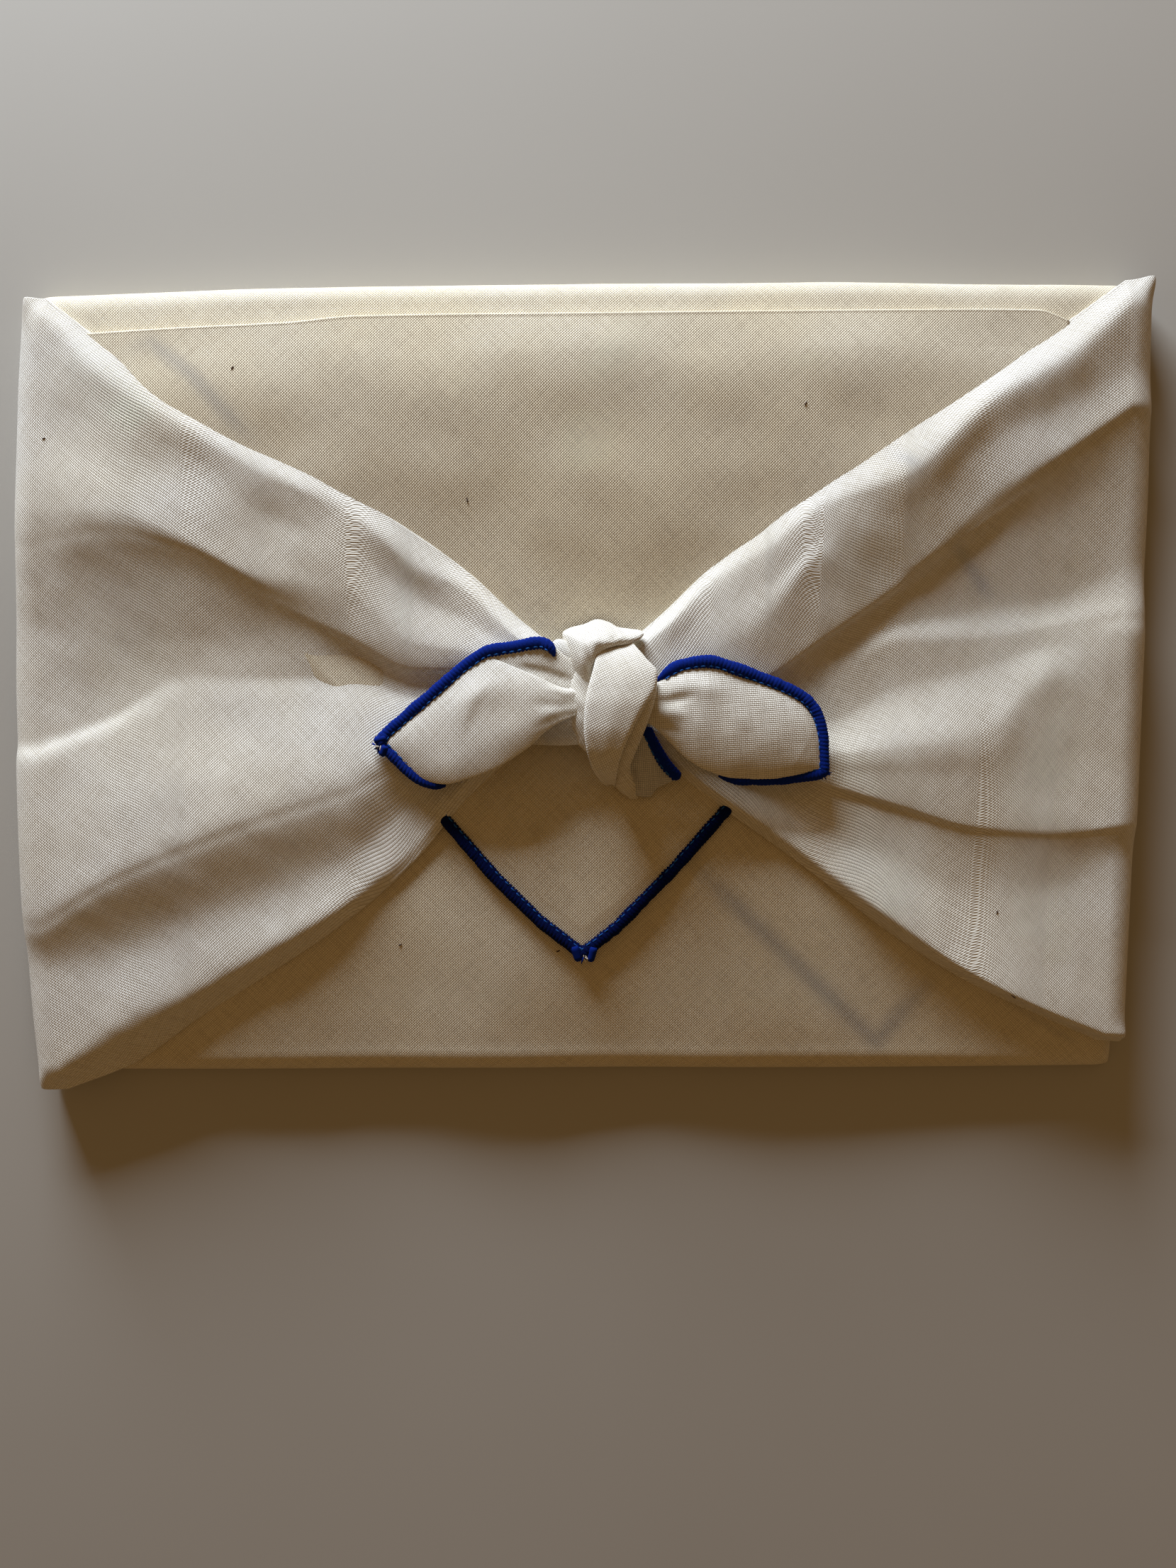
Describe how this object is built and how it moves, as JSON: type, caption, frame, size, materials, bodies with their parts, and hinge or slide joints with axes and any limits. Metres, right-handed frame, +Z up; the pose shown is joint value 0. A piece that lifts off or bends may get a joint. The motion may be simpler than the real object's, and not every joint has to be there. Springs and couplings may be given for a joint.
{
  "type": "furoshiki wrap",
  "caption": "Flat rectangular bundle wrapped in a square cotton cloth, its side corners gathered over the face and tied in a central knot with leaf-shaped free ends and an overlocked edge.",
  "frame": {"origin": "middle of the bundle's footprint, on the surface that it rests on", "axes": "+X along the bundle's long side, +Y along its short side towards the pleated top edge, +Z up out of the face that carries the knot"},
  "size_m": [0.2595, 0.1837, 0.028],
  "materials": {
    "cotton_cloth": "matte undyed plain weave, slightly sheer",
    "edge_thread": "matte dyed overlock thread"
  },
  "bodies": {
    "root": {"cloth": "cotton_cloth", "edging_flap": "edge_thread", "edging_left_end": "edge_thread", "edging_right_end": "edge_thread", "edging_knot": "edge_thread"}
  },
  "joints": []
}
